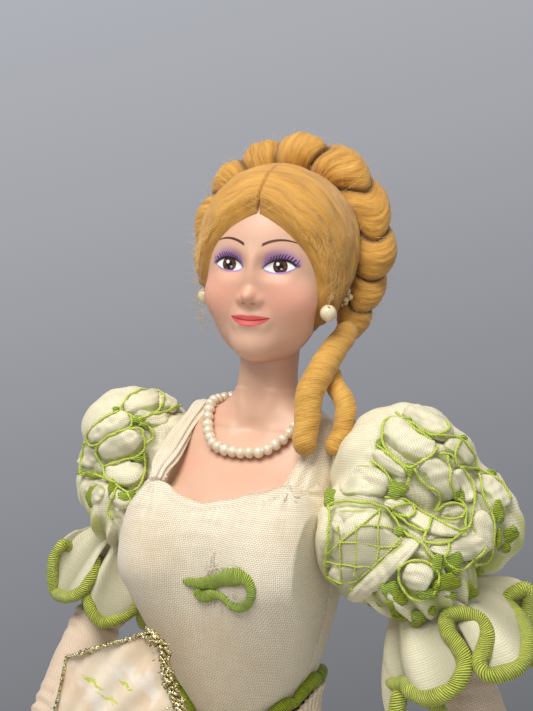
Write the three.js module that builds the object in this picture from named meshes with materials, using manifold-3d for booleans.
// A fashion doll in a puff-sleeved evening gown, as an assembly of separate pieces.
// Millimetres, +Z up, the doll faces -Y and its left side is +X. The origin is on the floor,
// at the centre of the skirt's hem, under the body's upright axis.

import * as THREE from "three";
import { mergeVertices } from "three/addons/utils/BufferGeometryUtils.js";
import Module from "manifold-3d";

const wasm = await Module();
wasm.setup();

const V = (x, y, z) => new THREE.Vector3(x, y, z);
const TAU = 2 * Math.PI;
const rad = THREE.MathUtils.degToRad;

// Clearances
const GAP = 0.3; // between pieces that lie on each other
const CLOTH = 0.5; // a layer of woven cloth
const WALL = 1.6; // moulded vinyl
const BEYOND = 420; // further than any piece reaches, for cutting blocks

// Heights on the body
const CHIN_Z = 255;
const NECK_TOP_Z = 258;
const SHOULDER_Z = 232;
const BUST_Z = 213;
const WAIST_Z = 184;
const HIP_Z = 154;

const HEAD_TURN = 7; // degrees to the doll's left at rest

// Body
const SOCKET_X = 19.2; // the flat face that an arm turns against
const NECK_RADIUS = 6.3;
const NECK_BORE = 3;
const BUST_RADIUS = 10.2;
const BUST_APART = 12; // from the middle to the centre of each breast
const BUST_FORWARD = 15.8;
const PEG_RADIUS = 3.4;
const PEG_LENGTH = 4.4;
const FLANGE_RADIUS = 4.6;
const HIP_RADIUS = 9.2;
const HIP_WEB = 2.2; // half of the web between the legs
const AXLE_RADIUS = 1.5;
const AXLE_HALF = 14;

// Arms
const SHOULDER_X = 24;
const SHOULDER_RADIUS = 7.2;
const UPPER_ARM = 38;
const FOREARM = 33;
const ARM_OUT = { left: 34, right: 20.5 }; // degrees away from the body
const FOREARM_OUT = { left: 32, right: 6 };
const FOREARM_FORWARD = { left: 8, right: 35 };

// Gown
const NECKLINE_Z = 225.5;
const HEM_RADIUS = 86;
const WAIST_RADIUS = 16.6;
const WAISTLINE_Z = 189.5; // round the back and sides, from where it dips to a point
const BASQUE_POINT = 12.5; // how far the waistline dips at the front
const GORES = 6;
const FLUTES = 12; // folds round the hem
const FLUTE_DEPTH = 2.6;
const SKIRT_WALL = 1.4;
const HEM_CORD_Z = 7;
const HEM_CORD_RADIUS = 1.2;
const WAIST_CORD_RADIUS = 1.2;

// Sleeves
const SLEEVE_PLANE = 20.7; // no piece of an arm reaches further in above the hands
const CUFF_AT = { left: 26, right: 20 }; // along the upper arm from the shoulder
const FRILL_LENGTH = { left: 22, right: 17 };
const FRILL_FLARE = { left: 10.5, right: 3.4 };
const SCALLOPS = 5;
const EDGING_RADIUS = 1.35;

// Jewellery
const PEARL_RADIUS = 1.08;
const PEARLS = 44;
const EAR_PEARL_RADIUS = 1.85;
const EAR_PIN_RADIUS = 0.3;
const EAR_Y = -2;
const EAR_Z = 266;

// Fan
const FAN_RADIUS = 50;
const LEAF_INNER = 24;
const FAN_STICKS = 6;
const FAN_FIRST = 74; // degrees above the horizontal of the upper guard
const FAN_SPREAD = 78; // degrees between the two guards
const STICK_PITCH = 0.45;
const STICK_WALL = 0.3;
const STICK_TAIL = 2.2; // below the rivet
const FAN_FROM_PALM = 4.2;

const finish = {
  vinyl: { color: 0xe2b497, roughness: 0.45 },
  plastic: { color: 0xd9ab8e, roughness: 0.5 },
  hair: { color: 0xbd8638, roughness: 0.75 },
  cloth: { color: 0xe6d8bd, roughness: 0.8 },
  organza: { color: 0xd3d6bd, roughness: 0.7 },
  green: { color: 0x86b12c, roughness: 0.6 },
  pearl: { color: 0xf1e8d8, roughness: 0.2 },
  glove: { color: 0xe7d3bf, roughness: 0.8 },
  gold: { color: 0xb8a05a, roughness: 0.35, metalness: 0.9 },
  brass: { color: 0xc2a25a, roughness: 0.3, metalness: 1 },
  ribbon: { color: 0xdccba0, roughness: 0.7 },
  shoe: { color: 0xe9e2d2, roughness: 0.35 },
  fan: { color: 0xe4cdb4, roughness: 0.8 },
};

// Shared geometry helpers

// Turns a closed mesh's faces outwards.
function facingOut(geometry) {
  const p = geometry.getAttribute("position");
  const index = geometry.index.array;
  const [a, b, c] = [V(), V(), V()];
  let volume = 0;
  for (let i = 0; i < index.length; i += 3) {
    a.fromBufferAttribute(p, index[i]);
    b.fromBufferAttribute(p, index[i + 1]);
    c.fromBufferAttribute(p, index[i + 2]);
    volume += a.dot(b.cross(c));
  }
  if (volume > 0) return geometry;
  for (let i = 0; i < index.length; i += 3) {
    [index[i + 1], index[i + 2]] = [index[i + 2], index[i + 1]];
  }
  return geometry;
}

// A closed skin over rings of points with equal counts. Its two ends are each closed by a fan
// round a middle point, or by a strip across a long thin ring, or else the last ring joins the
// first in a loop, which is how a thin wall with two rims is made.
function skin(rings, ends = "fan") {
  const count = rings[0].length;
  const points = rings.flat().map((p) => [p.x, p.y, p.z]);
  const index = [];
  const rows = ends === "loop" ? rings.length : rings.length - 1;
  for (let i = 0; i < rows; i++) {
    for (let j = 0; j < count; j++) {
      const next = (j + 1) % count;
      const [a, b] = [i * count + j, i * count + next];
      const below = ((i + 1) % rings.length) * count;
      index.push(a, b, below + j, b, below + next, below + j);
    }
  }
  for (const end of ends === "loop" ? [] : [0, rings.length - 1]) {
    const start = end * count;
    if (ends === "strip") {
      for (let j = 0; j < count / 2 - 1; j++) {
        const [a, b, c, d] = [j, j + 1, count - 2 - j, count - 1 - j].map((k) => start + k);
        index.push(...(end ? [a, b, d, b, c, d] : [b, a, d, b, d, c]));
      }
    } else {
      const middle = rings[end].reduce((sum, p) => sum.add(p), V(0, 0, 0)).divideScalar(count);
      points.push([middle.x, middle.y, middle.z]);
      for (let j = 0; j < count; j++) {
        const [a, b] = [start + j, start + ((j + 1) % count)];
        index.push(...(end ? [a, b, points.length - 1] : [b, a, points.length - 1]));
      }
    }
  }
  const made = new THREE.BufferGeometry();
  made.setAttribute("position", new THREE.Float32BufferAttribute(points.flat(), 3));
  made.setIndex(index);
  const merged = mergeVertices(made, 1e-4);
  return facingOut(withoutSlivers(merged));
}

// Drops the faces that lost a corner where a ring closes to a point.
function withoutSlivers(geometry) {
  const kept = [];
  const old = geometry.index.array;
  for (let i = 0; i < old.length; i += 3) {
    const [a, b, c] = [old[i], old[i + 1], old[i + 2]];
    if (a !== b && b !== c && a !== c) kept.push(a, b, c);
  }
  geometry.setIndex(kept);
  return geometry;
}

// A panel of cloth: outer and inner grids of points, joined all round their four edges.
function panel(outer, inner) {
  const rings = outer.map((row, i) => [...row, ...[...inner[i]].reverse()]);
  return skin(rings, "strip");
}

function solid(geometry) {
  const bare = geometry.index ? geometry.clone() : geometry;
  for (const name of ["normal", "uv"]) bare.deleteAttribute(name);
  const merged = mergeVertices(bare, 1e-4);
  return new wasm.Manifold(
    new wasm.Mesh({
      numProp: 3,
      vertProperties: merged.getAttribute("position").array,
      triVerts: new Uint32Array(merged.index.array),
    }),
  );
}

function geometryOf(manifold) {
  const mesh = manifold.getMesh();
  const made = new THREE.BufferGeometry();
  made.setAttribute("position", new THREE.BufferAttribute(mesh.vertProperties, 3));
  made.setIndex(new THREE.BufferAttribute(mesh.triVerts, 1));
  return made;
}

// A round tube through points. The radius is a number or a function of the share of its length.
function tube(points, radius, { steps, sides = 8, closed = false, squash = 1 }) {
  const curve = new THREE.CatmullRomCurve3(points, closed, "centripetal");
  const frames = curve.computeFrenetFrames(steps, closed);
  const size = typeof radius === "function" ? radius : () => radius;
  const rings = [];
  for (let i = 0; i < steps + (closed ? 0 : 1); i++) {
    const centre = curve.getPointAt(i / steps);
    const r = size(i / steps);
    rings.push(
      Array.from({ length: sides }, (_, j) => {
        const turn = (j / sides) * TAU;
        return centre
          .clone()
          .addScaledVector(frames.normals[i], r * Math.cos(turn))
          .addScaledVector(frames.binormals[i], r * squash * Math.sin(turn));
      }),
    );
  }
  return skin(rings, closed ? "loop" : "fan");
}

// A solid of revolution about +Z, from (radius, height) pairs that start and end on the axis.
const lathe = (profile, sides) =>
  new THREE.LatheGeometry(
    profile.map(([r, h]) => new THREE.Vector2(r, h)),
    sides,
  ).rotateX(Math.PI / 2);

// The same about +X.
const latheAlongX = (profile, sides) => lathe(profile, sides).rotateY(Math.PI / 2);

const block = (low, high) =>
  new THREE.BoxGeometry(high.x - low.x, high.y - low.y, high.z - low.z).translate(
    ...low.clone().add(high).divideScalar(2).toArray(),
  );

// Smooth steps through a table of [place, value, value, ...] rows.
function tableAt(rows, at) {
  if (at <= rows[0][0]) return rows[0].slice(1);
  if (at >= rows.at(-1)[0]) return rows.at(-1).slice(1);
  const k = rows.findIndex((row) => row[0] > at) - 1;
  const [p0, p1, p2, p3] = [rows[Math.max(0, k - 1)], rows[k], rows[k + 1], rows[Math.min(rows.length - 1, k + 2)]];
  const t = (at - p1[0]) / (p2[0] - p1[0]);
  return p1.slice(1).map((_, c) => {
    const i = c + 1;
    const slopeIn = ((p2[i] - p0[i]) / (p2[0] - p0[0] || 1)) * (p2[0] - p1[0]);
    const slopeOut = ((p3[i] - p1[i]) / (p3[0] - p1[0] || 1)) * (p2[0] - p1[0]);
    const [t2, t3] = [t * t, t * t * t];
    return (
      (2 * t3 - 3 * t2 + 1) * p1[i] +
      (t3 - 2 * t2 + t) * slopeIn +
      (3 * t2 - 2 * t3) * p2[i] +
      (t3 - t2) * slopeOut
    );
  });
}

// The distance from origin along a direction at which a shape that holds the origin ends.
function reach(inside, origin, direction, furthest = 60) {
  let [near, far] = [0, furthest];
  for (let i = 0; i < 26; i++) {
    const middle = (near + far) / 2;
    if (inside(origin.clone().addScaledVector(direction, middle))) near = middle;
    else far = middle;
  }
  return near;
}

const doll = new THREE.Group();

function add(name, geometry, look, parent = doll) {
  const mesh = new THREE.Mesh(geometry, new THREE.MeshStandardMaterial(finish[look]));
  mesh.name = name;
  parent.add(mesh);
  return mesh;
}

const mirrored = (side) => (side === "left" ? 1 : -1);

// Torso

// Height, half width, depth to the front, depth to the back
const TORSO = [
  [147, 11, 7, 7],
  [152, 16, 9.4, 10],
  [158, 17.4, 10, 12],
  [168, 16.8, 9.8, 11.6],
  [176, 15.4, 9.4, 9.8],
  [WAIST_Z, 14.2, 9, 8.6],
  [190, 16.8, 12, 9],
  [197, SOCKET_X, 14.6, 9.8],
  [206, SOCKET_X, 15, 10.6],
  [BUST_Z, SOCKET_X, 15, 11],
  [221, SOCKET_X, 14.4, 11.2],
  [229, SOCKET_X, 11.6, 10.8],
  [236, 18.6, 8.6, 9.6],
  [240, 17, 7, 8.6],
  [243, 13.4, 6.4, 7.6],
  [245.5, 9.4, 6.1, 7.2],
  [248, 7.1, 6, 6.8],
  [251.5, NECK_RADIUS, NECK_RADIUS, NECK_RADIUS],
  [NECK_TOP_Z, NECK_RADIUS, NECK_RADIUS, NECK_RADIUS],
];
const SQUARENESS = 2.35;
const BUST_SLOPE = 2; // how many times longer each breast is above its apex than below
const NECKLINE_FADE = 214; // cloth spans the breasts up to here, and above it follows the skin
const ROUND_FROM_Z = 249; // above this the neck is round

function rounderMax(a, b, k) {
  const h = Math.max(k - Math.abs(a - b), 0) / k;
  return Math.max(a, b) + (h * h * k) / 4;
}

// How far a ray from the body's axis goes before it leaves a breast
function bustReach(s, c, swell) {
  const along = Math.abs(s) * BUST_APART + c * BUST_FORWARD;
  const beside = Math.abs(Math.abs(s) * BUST_FORWARD - c * BUST_APART);
  if (beside < swell) return along + Math.sqrt(swell * swell - beside * beside);
  return along - 2.5 * (beside - swell);
}

// A point on the torso, or a stated distance off it, or on cloth that spans between the breasts.
function torsoPoint(turn, z, offset = 0, spanned = false) {
  const [half, front, back] = tableAt(TORSO, z);
  const [s, c] = [Math.sin(turn), Math.cos(turn)];
  const power = z > ROUND_FROM_Z ? 2 : SQUARENESS;
  const depth = (c > 0 ? front : back) + offset;
  let r = ((Math.abs(s) / (half + offset)) ** power + (Math.abs(c) / depth) ** power) ** (-1 / power);
  const rise = z > BUST_Z ? (z - BUST_Z) / BUST_SLOPE : BUST_Z - z;
  if (rise < BUST_RADIUS && c > 0) {
    const swell = Math.sqrt(BUST_RADIUS ** 2 - rise ** 2) + offset;
    r = rounderMax(r, bustReach(s, c, swell), 4);
    const across = (BUST_FORWARD + 0.9 * swell) / c;
    const taut = 1 - THREE.MathUtils.smoothstep(z, NECKLINE_FADE, NECKLINE_Z);
    if (spanned && across > r && across * Math.abs(s) < BUST_APART) r += (across - r) * taut;
  }
  const x = THREE.MathUtils.clamp(r * s, -SOCKET_X - offset, SOCKET_X + offset);
  return V(x, -r * c, z);
}

// How far the faceted body reaches from its axis
function bodyReach(turn, z) {
  const above = TORSO_HEIGHTS.findIndex((height) => height > z);
  const k = above < 1 ? 0 : above - 1;
  const up = (z - TORSO_HEIGHTS[k]) / (TORSO_HEIGHTS[k + 1] - TORSO_HEIGHTS[k]);
  const columns = (turn / TAU) * TORSO_SIDES;
  const j = Math.floor(columns);
  const corner = (column, row) => {
    const p = torsoPoint((column / TORSO_SIDES) * TAU, TORSO_HEIGHTS[row]);
    return Math.hypot(p.x, p.y);
  };
  const { lerp } = THREE.MathUtils;
  const across = (row) => lerp(corner(j, row), corner(j + 1, row), columns - j);
  return lerp(across(k), across(k + 1), up);
}

const insideTorso = (p) =>
  p.z < NECK_TOP_Z && Math.hypot(p.x, p.y) < bodyReach(Math.atan2(p.x, -p.y), p.z);

function around(count, from, to, place) {
  return Array.from({ length: count }, (_, i) => place(from + ((to - from) * i) / (count - 1)));
}

const ring = (count, place) =>
  Array.from({ length: count }, (_, i) => place((i / count) * TAU));

function torsoLoft(heights, offset, sides, spanned = false) {
  return skin(heights.map((z) => ring(sides, (turn) => torsoPoint(turn, z, offset, spanned))));
}

const TORSO_HEIGHTS = [
  147, 152, 158, 168, 176, 184, 190, 197, 203, 207, 213, 219, 225, 231, 236, 240, 243, 245.5, 248, 251.5, NECK_TOP_Z,
];
const TORSO_SIDES = 24;

function torsoHalves() {
  const cavity = [167, 184, 202, 213, 226, 236];
  const socket = latheAlongX([[0, -60], [PEG_RADIUS + GAP, -60], [PEG_RADIUS + GAP, 60], [0, 60]], 16);
  const flangeRoom = [SOCKET_X + GAP - PEG_LENGTH - GAP, SOCKET_X + GAP - PEG_LENGTH + 1.8 + GAP];
  let body = solid(torsoLoft(TORSO_HEIGHTS, 0, TORSO_SIDES))
    .subtract(solid(torsoLoft(cavity, -WALL - 0.6, 12)))
    .subtract(solid(lathe([[0, NECK_TOP_Z - 28], [NECK_BORE, NECK_TOP_Z - 28], [NECK_BORE, BEYOND], [0, BEYOND]], 14)))
    .subtract(solid(socket.translate(0, 0, SHOULDER_Z)));
  for (const side of [-1, 1]) {
    const r = FLANGE_RADIUS + GAP;
    const pocket = latheAlongX([[0, flangeRoom[0]], [r, flangeRoom[0]], [r, flangeRoom[1]], [0, flangeRoom[1]]], 14);
    if (side < 0) pocket.rotateZ(Math.PI);
    body = body.subtract(solid(pocket.translate(0, 0, SHOULDER_Z)));
  }
  const hipCut = HIP_RADIUS + 0.4;
  for (const side of [-1, 1]) {
    const well = latheAlongX([[0, HIP_WEB], [hipCut, HIP_WEB], [hipCut, 30], [0, 30]], 20);
    if (side < 0) well.rotateZ(Math.PI);
    body = body
      .subtract(solid(well.translate(0, 0, HIP_Z)))
      .subtract(solid(block(V(side > 0 ? HIP_WEB : -30, -20, 140), V(side > 0 ? 30 : -HIP_WEB, 20, HIP_Z + 3))));
  }
  const axleHole = latheAlongX([[0, -9], [AXLE_RADIUS + GAP, -9], [AXLE_RADIUS + GAP, 9], [0, 9]], 10);
  body = body.subtract(solid(axleHole.translate(0, 0, HIP_Z)));
  const frontHalf = body.intersect(solid(block(V(-BEYOND, -BEYOND, 0), V(BEYOND, -GAP / 2, BEYOND))));
  const backHalf = body.intersect(solid(block(V(-BEYOND, GAP / 2, 0), V(BEYOND, BEYOND, BEYOND))));
  add("torso_front", geometryOf(largest(frontHalf)), "vinyl");
  add("torso_back", geometryOf(largest(backHalf)), "vinyl");
  const axle = latheAlongX([[0, -AXLE_HALF], [AXLE_RADIUS, -AXLE_HALF], [AXLE_RADIUS, AXLE_HALF], [0, AXLE_HALF]], 12);
  add("hip_axle", axle.translate(0, 0, HIP_Z), "brass");
  const stem = NECK_BORE - GAP;
  const knob = [
    [0, NECK_TOP_Z - 17],
    [stem, NECK_TOP_Z - 17],
    [stem, NECK_TOP_Z + 0.2],
    [4.6, NECK_TOP_Z + 0.2],
    [4.6, NECK_TOP_Z + 0.6],
    [stem, NECK_TOP_Z + 1],
    [stem, NECK_TOP_Z + 3.4],
    [4.4, NECK_TOP_Z + 3.8],
    [3.6, NECK_TOP_Z + 6],
    [0, NECK_TOP_Z + 6.6],
  ];
  add("neck_knob", lathe(knob, 12), "plastic");
}

// Head

// Ellipsoids that blend into the head: centre, half sizes, how softly each blends in
const HEAD_MIDDLE = V(0, 0.5, CHIN_Z + 20.5);
const SKULL = { at: V(0, 2.2, CHIN_Z + 24), size: V(14.4, 16.2, 15) };
const JAW = { at: V(0, -4.4, CHIN_Z + 11.2), size: V(11.3, 9.2, 11.6), blend: 5 };
const CHIN = { at: V(0, -10.4, CHIN_Z + 3.4), size: V(4.2, 3.6, 3.4), blend: 3.4 };
const FACE = { at: V(0, -4.6, CHIN_Z + 19), size: V(12.4, 9.8, 14.5), blend: 4 };
const NOSE = { at: V(0, -14.6, CHIN_Z + 12.7), size: V(1.7, 2.9, 1.6), blend: 1.6 };
const BRIDGE = { at: V(0, -13.4, CHIN_Z + 16.6), size: V(1.3, 2.2, 4.6), blend: 2 };
const CHEEKS = [-1, 1].map((s) => ({ at: V(s * 7.2, -9, CHIN_Z + 13), size: V(4.6, 3.6, 4), blend: 3 }));
const LIPS = { at: V(0, -13.1, CHIN_Z + 8.1), size: V(3.6, 1.6, 1.5), blend: 1.2 };
const EYE_HOLLOWS = [-1, 1].map((s) => ({ at: V(s * 5.6, -15.6, CHIN_Z + 19), size: V(3.6, 3, 2.2), blend: 2 }));

function ellipsoidDistance(p, shape) {
  const q = p.clone().sub(shape.at);
  const k0 = q.clone().divide(shape.size).length();
  const k1 = q.clone().divide(shape.size.clone().multiply(shape.size)).length();
  return k1 === 0 ? -Math.min(...shape.size.toArray()) : (k0 * (k0 - 1)) / k1;
}

function blendIn(a, b, k) {
  const h = Math.max(k - Math.abs(a - b), 0) / k;
  return Math.min(a, b) - (h * h * k) / 4;
}

function headDistance(p) {
  let d = ellipsoidDistance(p, SKULL);
  for (const part of [JAW, FACE, CHIN, ...CHEEKS, BRIDGE, NOSE, LIPS]) {
    d = blendIn(d, ellipsoidDistance(p, part), part.blend);
  }
  for (const hollow of EYE_HOLLOWS) d = -blendIn(-d, ellipsoidDistance(p, hollow), hollow.blend);
  return d;
}

// A point on the head, or a stated distance off it, seen from its middle.
function headPoint(direction, offset = 0) {
  const at = direction.clone().normalize();
  const r = reach((p) => headDistance(p) < offset, HEAD_MIDDLE, at);
  return HEAD_MIDDLE.clone().addScaledVector(at, r);
}

// turn is from the face, positive to the doll's left, and rise is from the horizontal.
const facing = (turn, rise) =>
  V(Math.sin(turn) * Math.cos(rise), -Math.cos(turn) * Math.cos(rise), Math.sin(rise));

// A closed shape seen from its middle, given by whether a point is inside it. With crowding,
// more of its columns are at the front.
function ball(middle, inside, columns, rows, crowding = 0) {
  const turns = ring(columns, (t) => t - crowding * Math.sin(t));
  const rings = around(rows + 1, -Math.PI / 2, Math.PI / 2, (rise) =>
    turns.map((turn) => {
      const way = facing(turn, rise);
      return middle.clone().addScaledVector(way, reach(inside, middle, way));
    }),
  );
  return skin(rings);
}

const headBall = (offset, columns, rows) =>
  ball(HEAD_MIDDLE, (p) => headDistance(p) < offset, columns, rows, 0.42);

const HEAD_COLUMNS = 24;
const HEAD_ROWS = 19;

function headShell() {
  const socket = lathe([[0, 0], [NECK_RADIUS + GAP, 0], [NECK_RADIUS + GAP, NECK_TOP_Z + 0.4], [0, NECK_TOP_Z + 0.4]], 24);
  const throat = lathe([[0, NECK_TOP_Z - 8], [5, NECK_TOP_Z - 8], [5, NECK_TOP_Z + 8], [0, NECK_TOP_Z + 8]], 12);
  let head = solid(headBall(0, HEAD_COLUMNS, HEAD_ROWS))
    .subtract(solid(headBall(-2.6, 12, 8)))
    .subtract(solid(socket))
    .subtract(solid(throat));
  const pinHole = latheAlongX([[0, -BEYOND], [EAR_PIN_RADIUS + GAP, -BEYOND], [EAR_PIN_RADIUS + GAP, BEYOND], [0, BEYOND]], 8);
  head = head.subtract(solid(pinHole.translate(0, EAR_Y, EAR_Z)));
  add("head_shell", geometryOf(head), "vinyl", headGroup);
}

const earX = () => reach((p) => headDistance(p) < 0, V(0, EAR_Y, EAR_Z), V(1, 0, 0));

function earrings() {
  const x = earX();
  const pinTip = x - 2.6;
  const middle = x + EAR_PEARL_RADIUS + 0.5;
  for (const side of ["left", "right"]) {
    const profile = [
      [0, pinTip],
      [EAR_PIN_RADIUS, pinTip],
      [EAR_PIN_RADIUS, middle - 0.96 * EAR_PEARL_RADIUS],
    ];
    for (let a = -60; a < 90; a += 30) {
      profile.push([EAR_PEARL_RADIUS * Math.cos(rad(a)), middle + EAR_PEARL_RADIUS * Math.sin(rad(a))]);
    }
    profile.push([0, middle + EAR_PEARL_RADIUS]);
    const pearl = latheAlongX(profile, 10);
    if (side === "right") pearl.rotateZ(Math.PI);
    add(`earring_${side}`, pearl.translate(0, EAR_Y, EAR_Z), "pearl", headGroup);
  }
}

// Hair

// Trims a piece of hair to the head under it, and to the crown twist where it meets that.
function addHair(name, geometry, underTwist = true) {
  let made = solid(geometry).subtract(solid(headBall(GAP, HEAD_COLUMNS, HEAD_ROWS)));
  if (underTwist) made = made.subtract(solid(twistTube(GAP)));
  add(name, geometryOf(largest(made)), "hair", headGroup);
}

const UNDER = -0.8; // how far a piece of hair starts below the skin before it is trimmed

// How far round from the face the hairline lies at each rise: it peaks at the parting.
const hairlineTurn = (rise) => tableAt([[-0.6, 1.5], [-0.1, 1.34], [0.25, 1.12], [0.6, 0.62], [0.72, 0.02]], rise)[0];
const FRONT_BACK_EDGE = 0.2; // where the front hair ends, behind the vertical

function frontHair(side) {
  const s = mirrored(side);
  // u runs from the hairline back to the crown twist, v from the parting down to the ear
  const directionAt = (u, v) => {
    const rise = 0.72 - v * 1.06;
    const rim = facing(Math.max(hairlineTurn(rise), 0.02 + 0.01 * v), rise);
    const swing = v * 1.5;
    const top = V(Math.sin(swing), FRONT_BACK_EDGE, Math.cos(swing)).normalize();
    const d = rim.lerp(top, u).normalize();
    return V(s * Math.max(d.x, 0.012), d.y, d.z);
  };
  const thicknessAt = (u, v) => 0.8 + 2.2 * Math.sin(Math.PI * Math.min(1, 0.12 + u * 0.62)) * (1 - 0.6 * v);
  const sheet = (offsetAt) =>
    around(5, 0, 1, (u) => around(7, 0, 1, (v) => headPoint(directionAt(u, v), offsetAt(u, v))));
  addHair(`front_hair_${side}`, panel(sheet(thicknessAt), sheet(() => UNDER)));
}

// The smooth hair over the back of the head
function backHair() {
  const edge = 0.4; // how far behind the middle its rim lies
  const dome = (offsetAt) =>
    around(5, 0, 1, (u) =>
      ring(12, (turn) => {
        const spread = u * 1.42;
        const [aside, up] = [Math.sin(turn) * Math.sin(spread), Math.cos(turn) * Math.sin(spread)];
        return headPoint(V(aside, Math.max(Math.cos(spread), edge), Math.max(up, -0.66)), offsetAt(u));
      }),
    );
  const outer = dome((u) => 1.9 - 0.4 * u);
  addHair("back_hair", skin([...outer, ...dome(() => UNDER).reverse()]));
}

// Half of the line of the crown twist, from over the parting to behind the ear, and its radius
const TWIST_LINE = [
  [0, 9.6, 299.6, 4.9],
  [10.2, 9.6, 296.8, 5],
  [16.3, 9.4, 288.8, 5],
  [18.3, 9, 279, 4.8],
  [17.6, 8.4, 270.6, 4.2],
  [14.9, 7.6, 264.4, 3],
];
const TWIST_PUFFS = 11;

// The padded twist that crosses the crown from behind one ear to behind the other
function twistTube(offset) {
  const half = TWIST_LINE.map(([x, y, z]) => V(x, y, z));
  const mirrorHalf = half.slice(1).map((p) => V(-p.x, p.y, p.z));
  const rows = TWIST_LINE.map((row, i) => [i / (TWIST_LINE.length - 1), row[3]]);
  const size = (t) => {
    const [r] = tableAt(rows, Math.abs(2 * t - 1));
    return r * (0.8 + 0.2 * Math.abs(Math.sin(Math.PI * TWIST_PUFFS * t))) + offset;
  };
  return tube([...mirrorHalf.reverse(), ...half], size, { steps: TWIST_PUFFS * 3, sides: 7 });
}

function chignon() {
  const bun = [[0, -4.2], [3.2, -3.8], [5.4, -2.2], [6.2, 0], [5.4, 2.2], [3.2, 3.8], [0, 4.2]];
  const centre = headPoint(V(0, 1, -0.3), 1.9 + GAP).add(V(0, 4.4, 0));
  const made = lathe(bun, 12).scale(1.3, 0.62, 1);
  add("chignon", made.translate(centre.x, centre.y, centre.z), "hair", headGroup);
}

// Two wound ringlets that hang from behind the left ear in front of the shoulder
const RINGLETS = {
  front: {
    line: [
      V(15.9, -0.4, 262.6), V(16.2, -4.6, 258.6), V(15.6, -8.2, 254.6), V(14.6, -10.4, 250),
      V(13.9, -11.6, 244.6), V(13.9, -12.5, 239.6), V(14.2, -12.9, 236),
    ],
    radius: (t) => 1.9 + 0.85 * Math.sin((Math.PI * t) / 1.2),
  },
  rear: {
    line: [V(16.9, -4.6, 253.8), V(17.4, -6.4, 249.5), V(17.5, -7.4, 244), V(17, -8.8, 239), V(16.3, -9.8, 236)],
    radius: (t) => 1.5 + 0.7 * Math.sin((Math.PI * t) / 1.1),
  },
};

function ringlets() {
  for (const [name, { line, radius }] of Object.entries(RINGLETS)) {
    const taper = (t) => radius(t) * Math.min(1, 0.5 + 6 * t, 0.5 + 6 * (1 - t));
    add(`ringlet_${name}`, tube(line, taper, { steps: 12, sides: 8 }), "hair", headGroup);
  }
}

// The ribbon that ties the hair behind the left ear
function hairTie() {
  const loop = [V(0, 0, 0), V(0.7, -1.1, 1.9), V(1, 0.2, 3.3), V(0.8, 1.2, 1.4), V(0.7, 1, -1.2), V(0.6, 0.4, -2.8)];
  const line = loop.map((p) => p.add(V(14.9, 1.2, 269.4)));
  add("hair_tie", tube(line, 0.5, { steps: 12, sides: 6 }), "ribbon", headGroup);
}

// Necklace: pearls threaded on one closed line that lies on the collar and chest
const NECKLACE = { back: 248, front: 235.6, lean: 0.05 };

function necklace() {
  const line = ring(24, (turn) => {
    const drop = (0.5 + 0.5 * Math.cos(turn)) ** 1.1;
    const z = NECKLACE.back + (NECKLACE.front - NECKLACE.back) * drop;
    const most = 8.3 + 4 * drop + 1.2 * Math.abs(Math.sin(turn));
    const wall = torsoPoint(turn, z, GAP + PEARL_RADIUS + 0.2);
    const r = THREE.MathUtils.clamp(Math.hypot(wall.x, wall.y), 7.7, most);
    const p = V(Math.sin(turn) * r, -Math.cos(turn) * r, z - NECKLACE.lean * Math.sin(turn) * r);
    // lift the thread until it clears the sloping shoulder
    while (!torsoClear(p, PEARL_RADIUS + GAP)) p.z += 0.15;
    return p;
  });
  const pearl = (t) => PEARL_RADIUS * ((t * PEARLS) % 1 < 0.25 ? 0.4 : 1);
  add("necklace", tube(line, pearl, { steps: PEARLS * 2, sides: 4, closed: true }), "pearl");
}

function torsoClear(p, distance) {
  return ring(10, (t) => t).every((t) =>
    [-1, 0, 1].every((k) => {
      const way = V(Math.cos(t), Math.sin(t), k).normalize();
      return !insideTorso(p.clone().addScaledVector(way, distance));
    }),
  );
}

// Bodice

// The seam between bodice and skirt dips to a point at the front.
const waistline = (turn) => WAISTLINE_Z - BASQUE_POINT * Math.max(0, Math.cos(turn)) ** 1.2;

// The top edge of the bodice, by the turn from the front: neckline, strap, armhole, back
const BODICE_TOP = [
  [0, NECKLINE_Z],
  [0.45, NECKLINE_Z + 0.9],
  [0.78, NECKLINE_Z + 3.9],
  [0.95, NECKLINE_Z + 4.4],
  [1.15, 225.5],
  [1.3, 221.5],
  [1.6, 219.6],
  [1.86, 222],
  [2.1, 232],
  [2.5, 233.6],
  [Math.PI, 233.2],
];
const bodiceTop = (turn) => tableAt(BODICE_TOP, Math.abs(turn))[0];
const BODICE_ABOVE = 168;
const BODICE_BELOW = 236;

// What lies between two heights that change with the turn
function curtain(bottomAt, topAt) {
  const rim = (r, zAt) =>
    ring(2 * TORSO_SIDES, (turn) => {
      const z = zAt(turn > Math.PI ? turn - TAU : turn);
      return V(r * Math.sin(turn), -r * Math.cos(turn), z);
    });
  return skin([rim(60, bottomAt), rim(60, topAt), rim(2, topAt), rim(2, bottomAt)], "loop");
}

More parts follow.
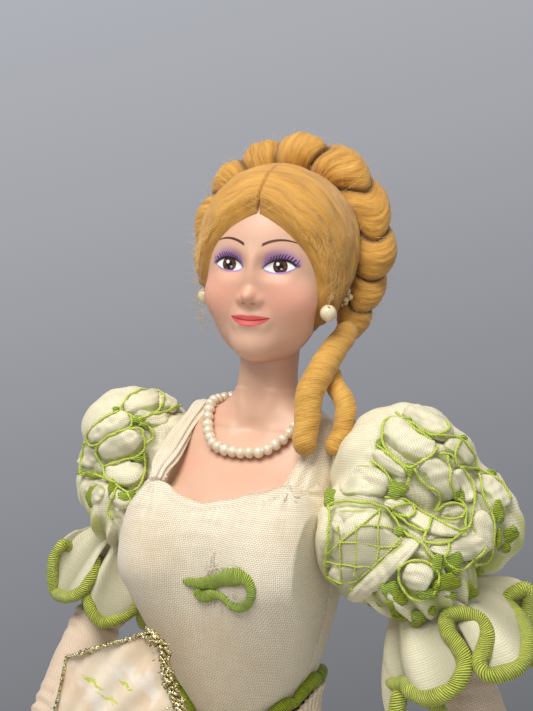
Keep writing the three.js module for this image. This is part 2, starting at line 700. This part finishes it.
function bodice() {
  const heights = TORSO_HEIGHTS.filter((z) => z >= BODICE_ABOVE && z <= BODICE_BELOW);
  const shape = (offset) => solid(torsoLoft(heights, offset, TORSO_SIDES, true));
  const cloth = shape(GAP + CLOTH + 0.2)
    .subtract(shape(GAP))
    .intersect(solid(curtain((turn) => waistline(turn) - 1, bodiceTop)));
  const seam = GAP / 2;
  const cuts = {
    bodice_front: block(V(-BEYOND, -BEYOND, 0), V(BEYOND, -seam, BEYOND)),
    bodice_back_left: block(V(seam, seam, 0), V(BEYOND, BEYOND, BEYOND)),
    bodice_back_right: block(V(-BEYOND, seam, 0), V(-seam, BEYOND, BEYOND)),
  };
  for (const [name, cut] of Object.entries(cuts)) {
    add(name, geometryOf(largest(cloth.intersect(solid(cut)))), "cloth");
  }
  for (let k = 0; k < 3; k++) {
    const z = 196 + 12 * k;
    const back = torsoPoint(Math.PI, z, GAP + CLOTH + 0.2).y;
    const button = lathe([[0, 0], [1.1, 0.15], [1.3, 0.6], [0.9, 1.1], [0, 1.3]], 8).rotateX(-Math.PI / 2);
    add(`back_button_${k + 1}`, button.translate(0, back + GAP, z), "pearl");
  }
}

// Each strap runs from the neckline's corner over the shoulder to the back. The right one is
// gathered to a cord, and the left one lies broad.
const STRAP = { right: { x: 15, width: 3.6, wall: 1.8 }, left: { x: 14.8, width: 5, wall: 1.2 } };
const STRAP_SPLAY = { right: 1.8, left: 0.9 }; // how much further out its front end lies

function strap(side) {
  const { x, width, wall } = STRAP[side];
  const middle = V(mirrored(side) * x, 0, 226);
  const over = (turn) => bodiceTop(turn) + GAP;
  const row = (offset) =>
    around(40, -1.21, 1.3, (swing) =>
      around(3, -0.5, 0.5, (share) => {
        const splay = mirrored(side) * STRAP_SPLAY[side] * Math.max(0, -swing) ** 1.5;
        const from = middle.clone().add(V(share * width + splay, 0, 0));
        const way = V(0, Math.sin(swing), Math.cos(swing));
        const crown = 0.3 * wall * (1 - 4 * share * share);
        const out = reach(insideTorso, from, way, 40) + 0.1 + (offset ? GAP + wall + crown : 0);
        return from.addScaledVector(way, out);
      }),
    );
  const [outer, inner] = [row(1), row(0)];
  const kept = inner.map((points) => points.every((p) => p.z > over(Math.atan2(p.x, -p.y)) - 1));
  const [first, last] = [kept.indexOf(true), kept.lastIndexOf(true)];
  const some = (rows) => rows.filter((_, i) => i >= first && i <= last && ((i - first) % 4 === 0 || i === last));
  const made = solid(panel(some(outer), some(inner)));
  const trimmed = made
    .subtract(solid(torsoLoft(TORSO_HEIGHTS, GAP, TORSO_SIDES)))
    .subtract(solid(curtain(() => BODICE_ABOVE, over)));
  add(`shoulder_strap_${side}`, geometryOf(largest(trimmed)), "cloth");
}

// Embroidered motif: a worked ring of satin stitch on the front of the bodice
const MOTIF = { x: 3, z: 208 };
const MOTIF_THREAD = 0.8;

function bodiceMotif() {
  const outline = [
    [-6.8, 2.2], [-3.6, 2.6], [0, 2.9], [3.8, 3.2], [6.4, 1.6], [6.6, -1.8], [4.2, -3.6],
    [1.4, -2.4], [-1, -1], [-3.4, -1.8], [-5.4, -0.2],
  ];
  const line = outline.map(([dx, dz]) => {
    const [x, z] = [MOTIF.x + dx, MOTIF.z + dz];
    const lift = GAP + CLOTH + GAP + 0.5 + MOTIF_THREAD;
    let turn = 0;
    // turn until the point on the cloth lies over x
    for (let i = 0; i < 12; i++) turn = Math.atan2(x, -torsoPoint(turn, z, lift, true).y);
    return torsoPoint(turn, z, lift, true);
  });
  add("bodice_motif", tube(line, MOTIF_THREAD, { steps: 24, sides: 5, closed: true }), "green");
}

// Arms, hands and gloves

const limbSection = (centre, across, forward, wide, deep, sides) =>
  ring(sides, (turn) =>
    centre
      .clone()
      .addScaledVector(across, wide * Math.cos(turn))
      .addScaledVector(forward, deep * Math.sin(turn)),
  );

// Along the arm from the shoulder: distance, half width, half depth
const ARM = [
  [0, 5, 5.4],
  [8, 5.4, 5.8],
  [20, 5, 5.1],
  [UPPER_ARM, 4.6, 4.7],
  [UPPER_ARM + 8, 4.8, 4.8],
  [UPPER_ARM + FOREARM - 10, 3.8, 3.8],
  [UPPER_ARM + FOREARM, 2.7, 3],
  [UPPER_ARM + FOREARM + 4, 2, 3.6],
  [UPPER_ARM + FOREARM + 9, 1.8, 4],
  [UPPER_ARM + FOREARM + 12, 1.5, 3.7],
];
const FINGER_LENGTH = 8.5;

// The arm's centre line, straight to the elbow and straight to the fingers, with a round elbow
function armLine(side) {
  const s = mirrored(side);
  const out = rad(ARM_OUT[side]);
  const forward = rad(FOREARM_FORWARD[side]);
  const upper = V(s * Math.sin(out), 0, -Math.cos(out));
  const lowerOut = rad(FOREARM_OUT[side]);
  const lower = V(
    s * Math.sin(lowerOut) * Math.cos(forward),
    -Math.sin(forward),
    -Math.cos(lowerOut) * Math.cos(forward),
  );
  const shoulder = V(s * SHOULDER_X, 0, SHOULDER_Z);
  const bend = 7;
  return (t) => {
    const elbow = shoulder.clone().addScaledVector(upper, UPPER_ARM);
    const mix = THREE.MathUtils.smoothstep(t, UPPER_ARM - bend, UPPER_ARM + bend);
    const way = upper.clone().lerp(lower, mix).normalize();
    const corner = Math.max(0, bend - Math.abs(t - UPPER_ARM));
    const straight = elbow.clone().addScaledVector(t < UPPER_ARM ? upper : lower, t - UPPER_ARM);
    const inward = lower.clone().sub(upper).multiplyScalar((corner * corner) / (4 * bend));
    return { at: straight.add(inward), way };
  };
}

function armRings(side, places, offset, sides) {
  const line = armLine(side);
  return places.map((t) => {
    const { at, way } = line(t);
    const [wide, deep] = tableAt(ARM, t);
    const across = V(0, 1, 0).cross(way).normalize();
    const forward = across.clone().cross(way);
    return limbSection(at, across, forward, wide + offset, deep + offset, sides);
  });
}

const HAND_AT = UPPER_ARM + FOREARM;
const LAST = HAND_AT + 12;

function fingers(side, offset) {
  const line = armLine(side);
  const { at, way } = line(LAST - 3);
  const s = mirrored(side);
  const across = V(0, 1, 0).cross(way).normalize();
  const forward = across.clone().cross(way);
  const made = [];
  for (let k = 0; k < 4; k++) {
    const shift = (k - 1.5) * 1.95;
    const long = FINGER_LENGTH - Math.abs(k - 1.4) * 1.1;
    const base = at.clone().addScaledVector(forward, shift);
    const curl = across.clone().multiplyScalar(s * 0.9); // the palm faces the body
    const tip = base.clone().addScaledVector(way, long + 2).add(curl.clone().multiplyScalar(1.6));
    const knuckle = base.clone().addScaledVector(way, long * 0.55).add(curl.clone().multiplyScalar(0.4));
    const taper = (t) => (1.05 - 0.35 * t) * (t > 0.96 ? 0.8 : 1) + offset;
    made.push(tube([base, knuckle, tip], taper, { steps: 2, sides: 5 }));
  }
  const root = line(HAND_AT + 3).at.addScaledVector(forward, 2.4);
  const thumbTip = root.clone().addScaledVector(way, 7.2).addScaledVector(forward, 3.6).addScaledVector(across, s * 1.2);
  const thumbMiddle = root.clone().addScaledVector(way, 3.2).addScaledVector(forward, 3);
  made.push(tube([root, thumbMiddle, thumbTip], (t) => 1.35 - 0.45 * t + offset, { steps: 2, sides: 5 }));
  return made;
}

const joined = (shapes) => shapes.map(solid).reduce((a, b) => a.add(b));

function arm(side) {
  const s = mirrored(side);
  const start = SOCKET_X + GAP;
  const shoulder = [
    [0, start - PEG_LENGTH],
    [FLANGE_RADIUS, start - PEG_LENGTH],
    [FLANGE_RADIUS, start - PEG_LENGTH + 1.4],
    [PEG_RADIUS, start - PEG_LENGTH + 1.8],
    [PEG_RADIUS, start],
    [SHOULDER_RADIUS - 0.8, start],
    [SHOULDER_RADIUS, start + 2.2],
    [SHOULDER_RADIUS - 0.4, start + 5.4],
    [SHOULDER_RADIUS - 2.2, start + 8.6],
    [0, start + 10.4],
  ];
  const cap = latheAlongX(shoulder, 12);
  if (s < 0) cap.rotateZ(Math.PI);
  const places = [5, 12, 20, 32, 38, 44, 54, HAND_AT, HAND_AT + 4, LAST - 1.5];
  const limb = skin(armRings(side, places, 0, ARM_SIDES));
  const made = joined([cap.translate(0, 0, SHOULDER_Z), limb]);
  add(`arm_${side}`, geometryOf(made), "vinyl", armGroup[side]);
}

const GLOVE_TOP = 29;
const ARM_SIDES = 9;

function glove(side) {
  const places = [32, 38, 44, 54, HAND_AT, HAND_AT + 4];
  const outer = solid(skin(armRings(side, [GLOVE_TOP, ...places, LAST - 0.6], GAP + CLOTH, ARM_SIDES)));
  const inner = solid(skin(armRings(side, [GLOVE_TOP - 4, ...places, LAST - 1.2], GAP, ARM_SIDES)));
  const hand = fingers(side, 0.25).map(solid);
  const made = hand.reduce((a, b) => a.add(b), outer).subtract(inner);
  add(`glove_${side}`, geometryOf(largest(made)), "glove", armGroup[side]);
}

// The biggest body of a solid whose cuts left crumbs
const largest = (made) =>
  made.decompose().reduce((a, b) => (a.volume() > b.volume() ? a : b));

// Sleeves

// The pillows of gathered cloth that make each puff: centre and half sizes, for the left side
const PUFF_LOBES = {
  left: [
    { at: V(33.5, -1, 235.5), size: V(14, 13.4, 12.4) },
    { at: V(42.6, 5, 225.5), size: V(12.8, 13, 12.6) },
    { at: V(29, -8.5, 221.5), size: V(10, 11.4, 12.4) },
    { at: V(40, -7, 217), size: V(11, 11.4, 10.8) },
    { at: V(32, 7, 220), size: V(12, 10, 12) },
  ],
  right: [
    { at: V(31, -1, 236), size: V(12.6, 11.6, 10.4) },
    { at: V(35.6, 2, 226.5), size: V(10.4, 11.6, 10.6) },
    { at: V(28.4, -4.6, 222), size: V(9.6, 9, 10.8) },
    { at: V(28, 5, 221.4), size: V(10, 8, 10.4) },
  ],
};
const LOBE_BLEND = 2.4;
const CUFF_RADIUS = 7.2;
const PUFF_WALL = 1;

function puffDistance(side, p) {
  const leftward = V(mirrored(side) * p.x, p.y, p.z);
  return PUFF_LOBES[side]
    .map((lobe) => ellipsoidDistance(leftward, lobe))
    .reduce((a, b) => blendIn(a, b, LOBE_BLEND));
}

function sleevePuff(side) {
  const s = mirrored(side);
  const middle = armLine(side)(0.4 * CUFF_AT[side]).at;
  const shape = (offset, columns, rows) =>
    solid(ball(middle, (p) => puffDistance(side, p) < offset, columns, rows));
  const room = SHOULDER_RADIUS + 2 * GAP;
  const shoulder = latheAlongX([[0, 0], [room, 0], [room, SHOULDER_X + 10], [0, SHOULDER_X + 10]], 12);
  if (s < 0) shoulder.rotateZ(Math.PI);
  const inner = side === "left" ? V(-60, -60, 150) : V(-SLEEVE_PLANE, -60, 150);
  const outer = side === "left" ? V(SLEEVE_PLANE, 60, 290) : V(60, 60, 290);
  const made = shape(0, 16, 11)
    .subtract(shape(-PUFF_WALL - 0.4, 10, 6))
    .subtract(solid(block(inner, outer)))
    .subtract(solid(shoulder.translate(0, 0, SHOULDER_Z)))
    .subtract(solid(skin(armRings(side, [2, 12, 22, 34, 46], GAP + 0.4, 9))))
    .subtract(solid(frillRoom(side)));
  add(`sleeve_puff_${side}`, geometryOf(largest(made)), "organza", armGroup[side]);
}

// The space that the frill takes up, with a clearance round it
function frillRoom(side) {
  const rings = [0, 0.4, 0.75, 1.1].map((share) =>
    ring(SCALLOPS * 4, (turn) => frillPoint(side, turn, share, 0.3 + 2 * GAP)),
  );
  const start = ring(SCALLOPS * 4, (turn) => frillPoint(side, turn, -0.04, 0.3 + 2 * GAP));
  return skin([start, ...rings]);
}

// The frill below the cuff: it flares in flutes and its edge is cut in deep scallops.
// share 0 is at the gathers and share 1 at the edge.
function frillPoint(side, turn, share, offset) {
  const line = armLine(side);
  const { at, way } = line(CUFF_AT[side] + 0.5);
  const across = V(0, 1, 0).cross(way).normalize();
  const forward = across.clone().cross(way);
  const wave = Math.cos(SCALLOPS * turn);
  const drop = FRILL_LENGTH[side] * (0.74 + 0.26 * wave);
  const flare = FRILL_FLARE[side] * (0.85 + 0.22 * wave);
  const along = 0.6 + share * drop;
  const r = CUFF_RADIUS + 0.2 + flare * Math.sin((Math.max(0, share) * Math.PI) / 2) ** 1.2 + offset;
  const lean = turn + 0.1 * share * Math.sin(2 * SCALLOPS * turn);
  return at
    .clone()
    .addScaledVector(way, along)
    .addScaledVector(across, r * Math.cos(lean))
    .addScaledVector(forward, r * Math.sin(lean));
}

function sleeveFrill(side) {
  const line = ring(SCALLOPS * 7, (turn) => frillPoint(side, turn, 1, 0));
  const cord = tube(line, EDGING_RADIUS, { steps: SCALLOPS * 6, sides: 5, closed: true });
  add(`frill_edging_${side}`, cord, "green", armGroup[side]);
  // the cloth ends just short of the cord
  const clear = EDGING_RADIUS + GAP + 0.15;
  const along = new THREE.CatmullRomCurve3(line, true, "centripetal").getPoints(SCALLOPS * 24);
  const edgeAt = (turn) => {
    let share = 1;
    while (along.some((p) => p.distanceTo(frillPoint(side, turn, share, 0)) < clear + 0.3)) share -= 0.01;
    return share;
  };
  const columns = SCALLOPS * 5;
  const ends = ring(columns, edgeAt);
  const sheet = (offset) =>
    [0, 0.5, 1].map((share) =>
      Array.from({ length: columns }, (_, j) => frillPoint(side, (j / columns) * TAU, share * ends[j], offset)),
    );
  const wall = 0.3;
  add(`sleeve_frill_${side}`, skin([...sheet(wall), ...sheet(-wall).reverse()], "loop"), "organza", armGroup[side]);
}

// Skirt

// Height above the floor and radius of the bell
const SKIRT = [
  [0, HEM_RADIUS - FLUTE_DEPTH],
  [40, 75],
  [80, 63.5],
  [115, 48.5],
  [140, 35.5],
  [158, 26],
  [170, 20.4],
  [177, 17.8],
  [WAIST_Z, WAIST_RADIUS],
  [190, 17.9],
];
const SKIRT_FLAT = 0.32; // how much shallower than wide it is at the waist
const SEAM_HALF = 0.16;

function onSkirt(turn, z, offset, fluted = 1) {
  const low = 1 - THREE.MathUtils.smoothstep(z, 20, WAIST_Z - 8);
  const r = tableAt(SKIRT, z)[0] + FLUTE_DEPTH * low * (fluted ? Math.cos(FLUTES * turn) : -1) + offset;
  const deep = 1 - SKIRT_FLAT * THREE.MathUtils.smoothstep(z, 110, WAIST_Z);
  return V(r * Math.sin(turn), -r * deep * Math.cos(turn), z);
}

// How far below the waistline's cord the skirt ends
const SKIRT_TOP_DROP = WAIST_CORD_RADIUS + 2 * GAP;

function skirt() {
  const shares = [0, 0.2, 0.42, 0.62, 0.78, 0.9, 1];
  for (let k = 0; k < GORES; k++) {
    const middle = (k * TAU) / GORES;
    const half = Math.PI / GORES;
    const sheet = (offset) =>
      shares.map((share) =>
        around(9, -1, 1, (across) => {
          const z = share * (waistline(middle + across * half) - SKIRT_TOP_DROP);
          const seam = SEAM_HALF / tableAt(SKIRT, z)[0];
          return onSkirt(middle + across * (half - seam), z, offset);
        }),
      );
    add(`skirt_gore_${k + 1}`, panel(sheet(0), sheet(-SKIRT_WALL)), "cloth");
  }
}

function petticoat() {
  const seam = 148; // it is sewn into the skirt along its top edge
  const wall = 0.8;
  const under = (z) => SKIRT_WALL + (z === seam ? GAP : 1.6);
  const sheet = (offset) =>
    [4, 50, 90, 115, 132, seam].map((z) => ring(18, (turn) => onSkirt(turn, z, -under(z) - offset, 0)));
  add("petticoat", skin([...sheet(0), ...sheet(wall).reverse()], "loop"), "organza");
}

// The cords that cover the waist seam and trim the hem
function skirtCords() {
  const over = GAP + CLOTH + GAP + 0.3 + WAIST_CORD_RADIUS;
  const waist = ring(30, (turn) => torsoPoint(turn, waistline(turn), over, true));
  add("waist_edging", tube(waist, WAIST_CORD_RADIUS, { steps: 28, sides: 5, closed: true }), "green");
  const hem = ring(FLUTES * 3, (turn) => onSkirt(turn, HEM_CORD_Z, GAP + 0.25 + HEM_CORD_RADIUS));
  add("hem_edging", tube(hem, HEM_CORD_RADIUS, { steps: FLUTES * 4, sides: 4, closed: true }), "green");
}

// Legs and shoes

const LEG_X = 9.6;
// Height, centre x, centre y, half width, half depth
const LEG = [
  [HIP_Z - 5, LEG_X, 0, 6.6, 8],
  [140, LEG_X - 0.3, 0, 6.6, 7.6],
  [112, 8.8, -0.6, 5.9, 6.4],
  [82, 8.2, -0.8, 4.4, 4.8],
  [62, 8, 0.8, 4.7, 5.3],
  [40, 7.9, 1.2, 3.6, 4],
  [25, 7.8, 1.6, 2.5, 2.9],
];
// Down the arched foot: centre y, centre z, half width, half height
const FOOT = [
  [1.8, 26, 2.5, 2.8],
  [1.2, 20, 2.6, 3.2],
  [-1.5, 14.5, 3, 3.3],
  [-6, 9.2, 3.4, 2.6],
  [-11, 5.2, 3.7, 2],
  [-15.5, 3.4, 3.3, 1.5],
  [-18.6, 2.7, 2.2, 1.1],
];

function footRings(offset) {
  const across = V(1, 0, 0);
  return FOOT.map(([y, z, wide, high], k) => {
    const before = FOOT[Math.max(0, k - 1)];
    const after = FOOT[Math.min(FOOT.length - 1, k + 1)];
    const way = V(0, after[0] - before[0], after[1] - before[1]).normalize();
    const up = way.clone().cross(across).normalize();
    return limbSection(V(7.8, y, z), across, up, wide + offset, high + offset, 8);
  });
}

function leg(side) {
  const s = mirrored(side);
  const barrel = [
    [0, HIP_WEB + GAP],
    [HIP_RADIUS - 0.6, HIP_WEB + GAP],
    [HIP_RADIUS, HIP_WEB + 1.6],
    [HIP_RADIUS, 12.6],
    [HIP_RADIUS - 1.6, 15.4],
    [HIP_RADIUS - 4.6, 16.9],
    [0, 17.4],
  ];
  const limb = LEG.map(([z, x, y, wide, deep]) => limbSection(V(x, y, z), V(1, 0, 0), V(0, 1, 0), wide, deep, 9));
  const bore = latheAlongX([[0, 0], [AXLE_RADIUS + GAP, 0], [AXLE_RADIUS + GAP, AXLE_HALF + 1], [0, AXLE_HALF + 1]], 8);
  const hip = latheAlongX(barrel, 14).translate(0, 0, HIP_Z);
  const made = joined([hip, skin(limb), skin(footRings(0))]).subtract(solid(bore.translate(0, 0, HIP_Z)));
  const geometry = geometryOf(s > 0 ? made : made.mirror([1, 0, 0]));
  add(`leg_${side}`, geometry, "vinyl");
}

function shoe(side) {
  const s = mirrored(side);
  const outer = skin(footRings(1));
  const heel = lathe([[0, -1], [1.15, -1], [1, 3], [1.5, 9], [2.7, 15], [0, 15]], 8).translate(7.8, 2.7, 0);
  const opening = block(V(-5, -8.5, 12.5), V(20, 20, 40)).rotateX(-0.5).translate(0, -4, 4);
  let made = solid(outer).add(solid(heel));
  made = made.subtract(solid(skin(footRings(GAP)))).subtract(solid(opening));
  made = largest(made.intersect(solid(block(V(-5, -40, 0), V(25, 40, 60)))));
  add(`shoe_${side}`, geometryOf(s > 0 ? made : made.mirror([1, 0, 0])), "shoe");
}

// Fan, held open in the right hand

// Its own X and Y span the leaf, and its Z faces forward.
const RIVET_TOP = -1.35; // behind the leaf
const STACK = 0.4 + STICK_PITCH * FAN_STICKS;
const FAN_SWING = 7; // degrees by which the open side stands further forward

// The leaf is shorter at its two guards than between them.
const leafRadius = (share) => FAN_RADIUS * (0.73 + 0.27 * Math.sin(Math.PI * share) ** 0.8);
const fanAngle = (share) => rad(FAN_FIRST - FAN_SPREAD * share);

function fan() {
  const held = armLine("right")(HAND_AT + 14).at;
  const fanGroup = new THREE.Group();
  fanGroup.position.set(held.x + FAN_FROM_PALM, held.y + RIVET_TOP - STACK / 2, held.z);
  fanGroup.rotation.set(rad(90), 0, rad(-FAN_SWING), "ZYX");
  armGroup.right.add(fanGroup);
  const pleats = 18;
  const leafAt = (share, r, offset) => {
    const depth = (Math.round(share * pleats) % 2 ? 0.7 : -0.7) * (r / FAN_RADIUS);
    return V(r * Math.cos(fanAngle(share)), r * Math.sin(fanAngle(share)), depth + offset - 1);
  };
  const shares = around(pleats + 1, 0, 1, (share) => share);
  const sheet = (offset) => [0, 1].map((far) =>
    shares.map((share) => leafAt(share, far ? leafRadius(share) : LEAF_INNER, offset)),
  );
  add("fan_leaf", panel(sheet(0.3), sheet(0)), "fan", fanGroup);
  const rim = shares.map((share) => {
    const [r, angle] = [leafRadius(share) + 1.1, fanAngle(share)];
    return V(r * Math.cos(angle), r * Math.sin(angle), -0.85);
  });
  add("fan_edging", tube(rim, 0.75, { steps: pleats, sides: 5 }), "gold", fanGroup);
  for (let k = 0; k < FAN_STICKS; k++) {
    const share = k / (FAN_STICKS - 1);
    const guard = k === 0 || k === FAN_STICKS - 1;
    const [narrow, wide] = guard ? [1.5, 2.3] : [1.2, 1.9];
    const long = leafRadius(share) - (guard ? 2 : 8);
    const outline = new THREE.Shape();
    outline.moveTo(-STICK_TAIL, -narrow / 2);
    outline.lineTo(long, -wide / 2);
    outline.lineTo(long, wide / 2);
    outline.lineTo(-STICK_TAIL, narrow / 2);
    outline.closePath();
    outline.holes.push(new THREE.Path().absarc(0, 0, 0.45, 0, TAU, true));
    const blade = new THREE.ExtrudeGeometry(outline, { depth: STICK_WALL, bevelEnabled: false, curveSegments: 6 });
    const stick = add(`fan_stick_${k + 1}`, blade, "shoe", fanGroup);
    stick.rotation.z = fanAngle(share);
    stick.position.z = RIVET_TOP - 0.4 - STICK_PITCH * (k + 1);
  }
  const bottom = RIVET_TOP - STACK - 0.7;
  const rivet = [
    [0, bottom],
    [0.9, bottom],
    [0.9, bottom + 0.4],
    [0.28, bottom + 0.4],
    [0.28, RIVET_TOP - 0.4],
    [0.9, RIVET_TOP - 0.4],
    [0.9, RIVET_TOP],
    [0, RIVET_TOP],
  ];
  add("fan_rivet", lathe(rivet, 8), "brass", fanGroup);
}

const headGroup = new THREE.Group();
headGroup.rotation.z = rad(HEAD_TURN);
const armGroup = { left: new THREE.Group(), right: new THREE.Group() };
doll.add(headGroup, armGroup.left, armGroup.right);

torsoHalves();
headShell();
earrings();
backHair();
add("crown_twist", geometryOf(solid(twistTube(0)).subtract(solid(headBall(GAP, HEAD_COLUMNS, HEAD_ROWS)))), "hair", headGroup);
chignon();
ringlets();
hairTie();
necklace();
bodice();
bodiceMotif();
for (const side of ["left", "right"]) {
  frontHair(side);
  strap(side);
  arm(side);
  glove(side);
  sleevePuff(side);
  sleeveFrill(side);
  leg(side);
  shoe(side);
}
skirt();
petticoat();
skirtCords();
fan();

export default doll;
